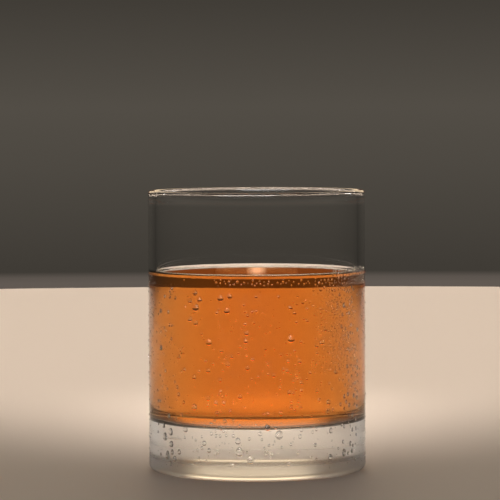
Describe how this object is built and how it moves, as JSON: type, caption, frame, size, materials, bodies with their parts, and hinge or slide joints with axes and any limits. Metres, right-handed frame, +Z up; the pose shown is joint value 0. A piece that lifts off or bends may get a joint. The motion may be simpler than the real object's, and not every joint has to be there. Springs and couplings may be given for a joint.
{
  "type": "shot of whisky in a glass tumbler",
  "caption": "Whisky in a straight, thick-based glass tumbler, filled to two thirds, the outside beaded with small drops of water.",
  "frame": {"origin": "middle of the surface that the tumbler stands on", "axes": "+Z up along the tumbler's axis, out of its mouth; X and Y are alike"},
  "size_m": [0.07, 0.07, 0.0903],
  "materials": {
    "clear_glass": "clear, smooth, wet outside",
    "amber_whisky": "clear amber liquid"
  },
  "bodies": {
    "root": {"tumbler": "clear_glass", "whisky": "amber_whisky"}
  },
  "joints": []
}
